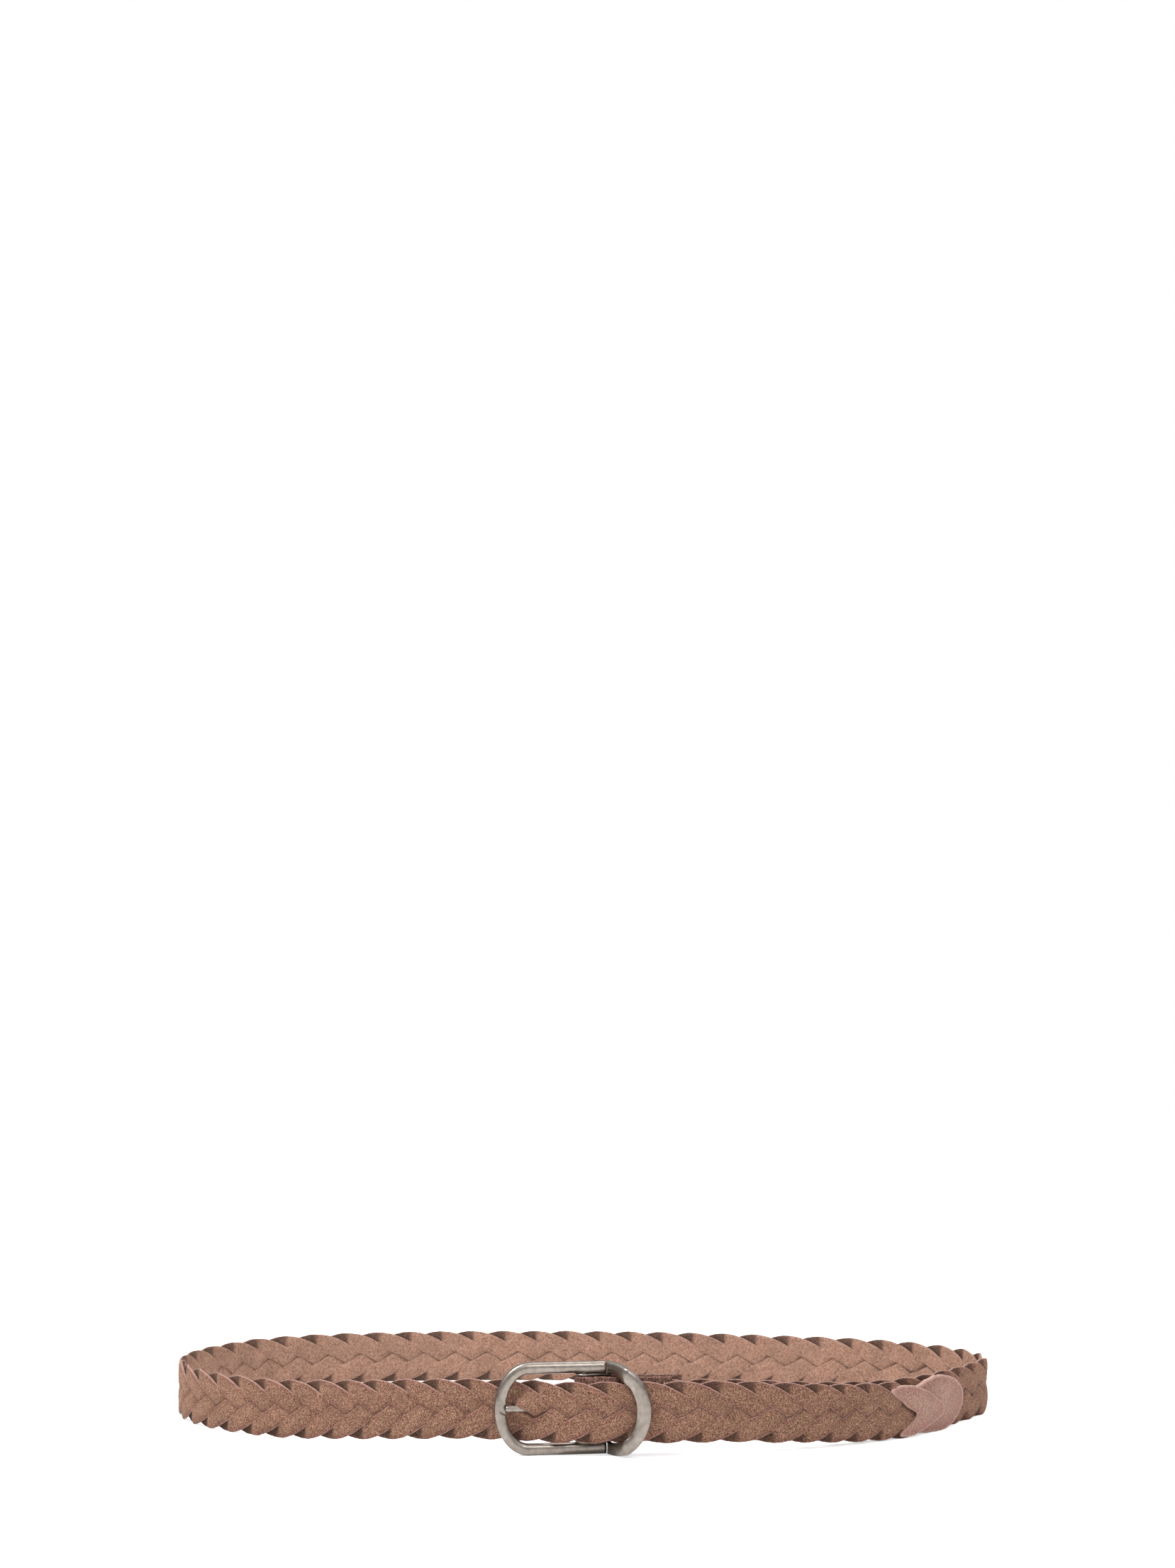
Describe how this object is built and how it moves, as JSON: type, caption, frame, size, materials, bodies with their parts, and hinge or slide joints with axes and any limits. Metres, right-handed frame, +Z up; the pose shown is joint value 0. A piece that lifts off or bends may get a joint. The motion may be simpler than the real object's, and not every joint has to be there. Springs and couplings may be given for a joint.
{
  "type": "plaited leather belt",
  "caption": "Flat plaited suede belt buckled into a standing loop, with a metal frame buckle, prong, keeper bow, folded chape and a rounded tip.",
  "frame": {"origin": "middle of the footprint of the standing loop, on the surface it stands on", "axes": "+X to the right along the front of the loop seen from the buckle's side, +Y from the buckle to the back of the loop, +Z up, across the strap's width"},
  "size_m": [0.3962, 0.223, 0.04],
  "materials": {
    "suede_strip": "napped suede outside, smooth grain inside",
    "suede_tab": "napped suede",
    "thread": "waxed thread",
    "satin_nickel": "satin nickel plate"
  },
  "bodies": {
    "root": {"strand_1": "suede_strip", "strand_2": "suede_strip", "strand_3": "suede_strip", "strand_4": "suede_strip", "strand_5": "suede_strip", "chape": "suede_tab", "chape_stitches": "thread"},
    "frame": {"buckle_frame": "satin_nickel", "pivot_bar": "satin_nickel"},
    "prong": {"prong": "satin_nickel"},
    "keeper": {"keeper_bow": "satin_nickel"},
    "tail": {"strand_1_tail": "suede_strip", "strand_2_tail": "suede_strip", "strand_3_tail": "suede_strip", "strand_4_tail": "suede_strip", "strand_5_tail": "suede_strip", "tip_cap": "suede_strip", "tip_tab": "suede_tab"}
  },
  "joints": [
    {"name": "frame_tilt", "type": "hinge", "parent": "root", "child": "frame", "pos_m": [-0.00001, -0.09879, 0.02], "axis": [0, 0, 1], "range_deg": [0, 5]},
    {"name": "prong_swing", "type": "hinge", "parent": "frame", "child": "prong", "pos_m": [-0.00001, -0.09879, 0.02], "axis": [0, 0, 1], "range_deg": [0, 5]},
    {"name": "keeper_swing", "type": "hinge", "parent": "root", "child": "keeper", "pos_m": [-0.00001, -0.09879, 0.02], "axis": [0, 0, -1], "range_deg": [0, 80]},
    {"name": "tail_flex", "type": "hinge", "parent": "root", "child": "tail", "pos_m": [0.03373, -0.10725, 0.016], "axis": [0, 0, -1], "range_deg": [0, 30], "stiffness_Nm_per_rad": 0.05}
  ]
}
